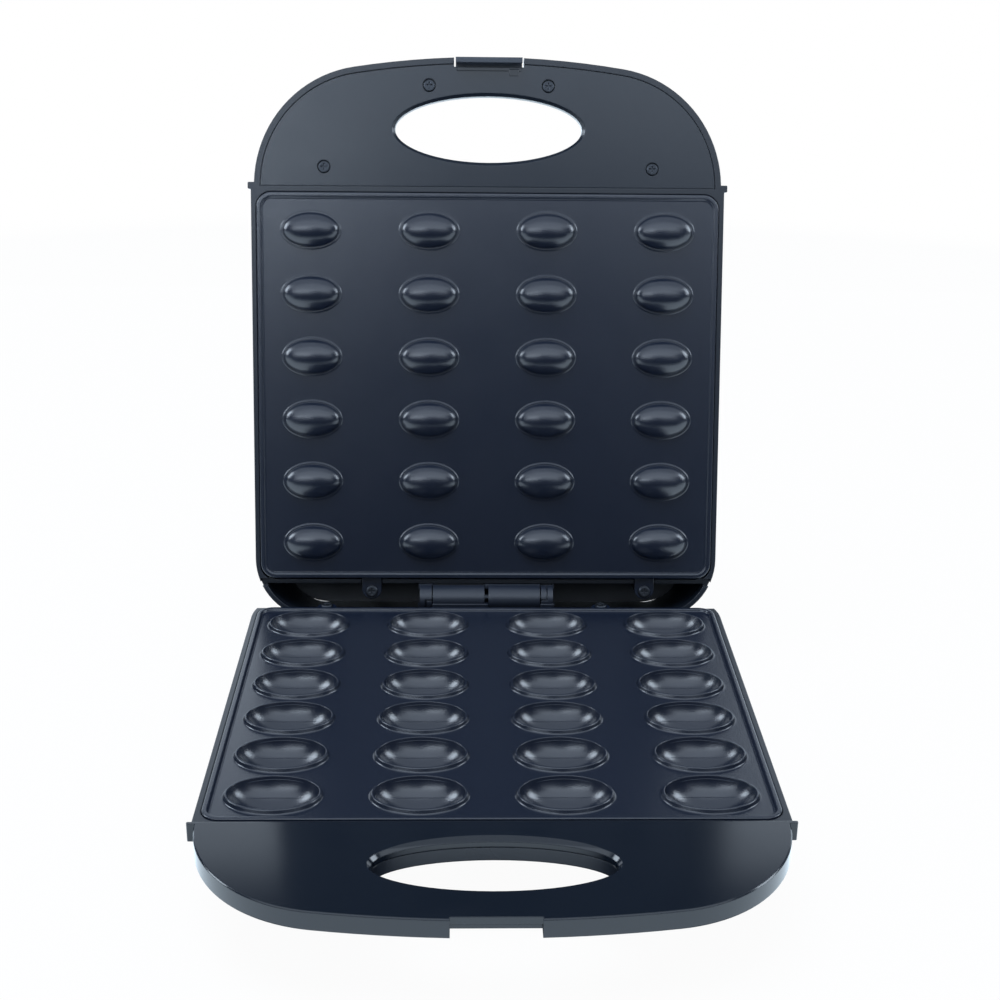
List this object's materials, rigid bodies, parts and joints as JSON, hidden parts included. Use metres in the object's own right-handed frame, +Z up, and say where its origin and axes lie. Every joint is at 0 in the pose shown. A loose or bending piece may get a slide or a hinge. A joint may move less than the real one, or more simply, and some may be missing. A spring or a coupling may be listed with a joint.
{
  "type": "walnut cake maker",
  "caption": "Black countertop walnut cake maker with hinged lid, oval mould cups, looped handles and a front latch",
  "frame": {"origin": "centre of the overall box in plan, on the surface the feet stand on", "axes": "+Z up, +Y to the hinge side, +X to the right seen from the handle"},
  "size_m": [0.2516, 0.3666, 0.3229],
  "materials": {
    "base_shell": "moulded black plastic, semi-gloss",
    "lid_shell": "moulded black plastic, semi-gloss",
    "gloss_panel": "polished black plastic",
    "satin_panel": "finely grained satin black plastic",
    "mould_coating": "black non-stick coating, satin gloss",
    "hinge_metal": "black lacquered steel",
    "screw_steel": "zinc plated, slightly dulled",
    "heater_steel": "annealed tube",
    "sheet_steel": "mill finish sheet",
    "ceramic": "unglazed steatite",
    "dark_plastic": "black nylon",
    "foot_rubber": "matt black rubber",
    "latch_plastic": "satin black plastic",
    "red_lens": "clear red",
    "green_lens": "clear green",
    "lamp_glass": "clear glass tube"
  },
  "bodies": {
    "base": {"bottom_housing": "base_shell", "base_handle_panel": "gloss_panel", "lower_mould_plate": "mould_coating", "lower_plate_screws": "screw_steel", "base_handle_screws": "screw_steel", "lower_heater": "heater_steel", "lower_heater_clamps": "sheet_steel", "lower_clamp_screws": "screw_steel", "lower_reflector": "sheet_steel", "lower_thermostat": "ceramic", "thermal_fuse": "ceramic", "base_hinge_leaf": "hinge_metal", "base_hinge_screws": "screw_steel", "hinge_pin": "screw_steel", "rubber_feet": "foot_rubber", "cord_gland": "dark_plastic", "cord_clamp": "dark_plastic", "terminal_block": "ceramic"},
    "lid": {"lid_housing": "lid_shell", "lid_handle_panel": "satin_panel", "lid_handle_screws": "screw_steel", "upper_mould_plate": "mould_coating", "upper_plate_screws": "screw_steel", "upper_heater": "heater_steel", "upper_reflector": "sheet_steel", "upper_heater_clamps": "sheet_steel", "upper_clamp_screws": "screw_steel", "upper_thermostat": "ceramic", "lid_hinge_leaf": "hinge_metal", "lid_hinge_screws": "screw_steel", "power_lens": "red_lens", "ready_lens": "green_lens", "neon_lamps": "lamp_glass", "latch_pin": "screw_steel"},
    "latch": {"latch": "latch_plastic"}
  },
  "joints": [
    {"name": "lid_hinge", "type": "hinge", "parent": "base", "child": "lid", "pos_m": [0, 0.1014, 0.046], "axis": [1, 0, 0], "range_deg": [0, 104]},
    {"name": "latch_pivot", "type": "hinge", "parent": "lid", "child": "latch", "pos_m": [0, 0.17322, 0.31584], "axis": [-1, 0, 0], "range_deg": [0, 25]}
  ]
}
